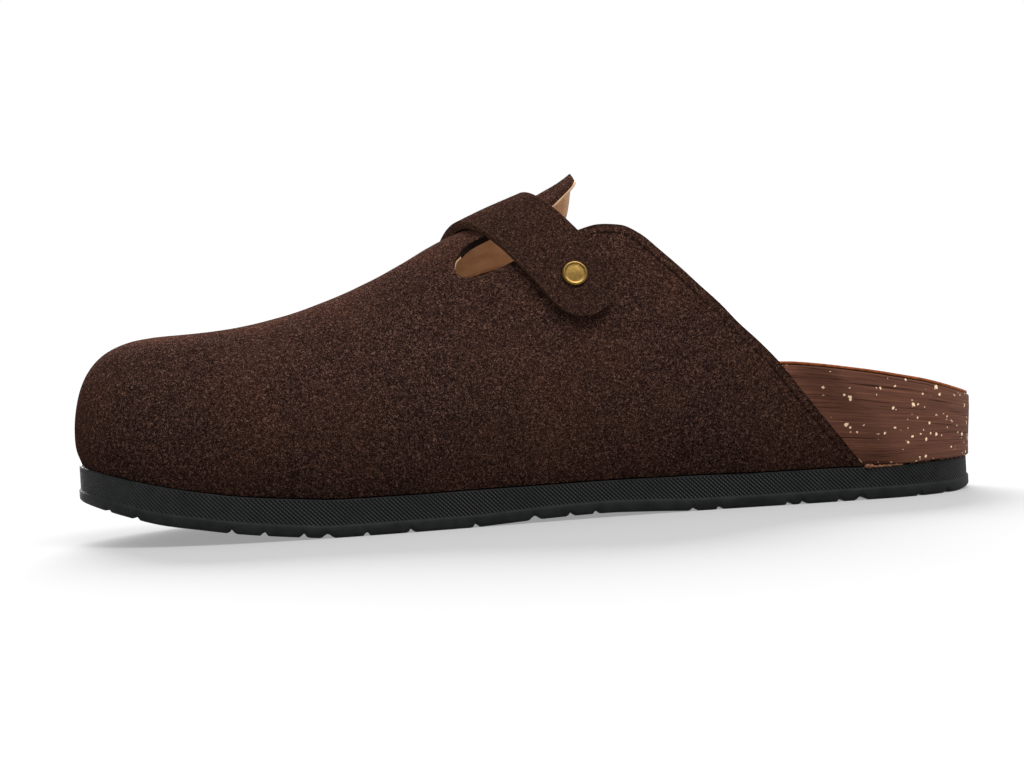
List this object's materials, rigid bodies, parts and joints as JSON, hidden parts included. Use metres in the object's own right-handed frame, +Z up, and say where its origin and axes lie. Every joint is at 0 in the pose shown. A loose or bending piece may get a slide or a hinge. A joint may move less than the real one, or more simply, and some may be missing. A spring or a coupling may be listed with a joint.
{
  "type": "clog slipper",
  "caption": "Open-back clog slipper for a right foot: hollow suede upper with a strap and tongue over the instep, on a contoured footbed and a notched outsole.",
  "frame": {"origin": "the middle of the bounding box at floor level", "axes": "+X to the toe, +Y to the medial (big toe) side of the right foot, +Z up; the sole stands on Z = 0"},
  "size_m": [0.285, 0.1076, 0.1057],
  "materials": {
    "outsole": "moulded black rubber foam, crosshatched edge",
    "footbed": "brown wood-grained cork blend with cream flecks",
    "insole": "tan suede liner",
    "upper": "dark brown suede, tan lining",
    "strap": "dark brown suede",
    "rivet_medial": "satin brass cap",
    "rivet_lateral": "satin brass cap"
  },
  "bodies": {
    "root": {"outsole": "outsole", "footbed": "footbed", "insole": "insole", "upper": "upper", "strap": "strap", "rivet_medial": "rivet_medial", "rivet_lateral": "rivet_lateral"}
  },
  "joints": []
}
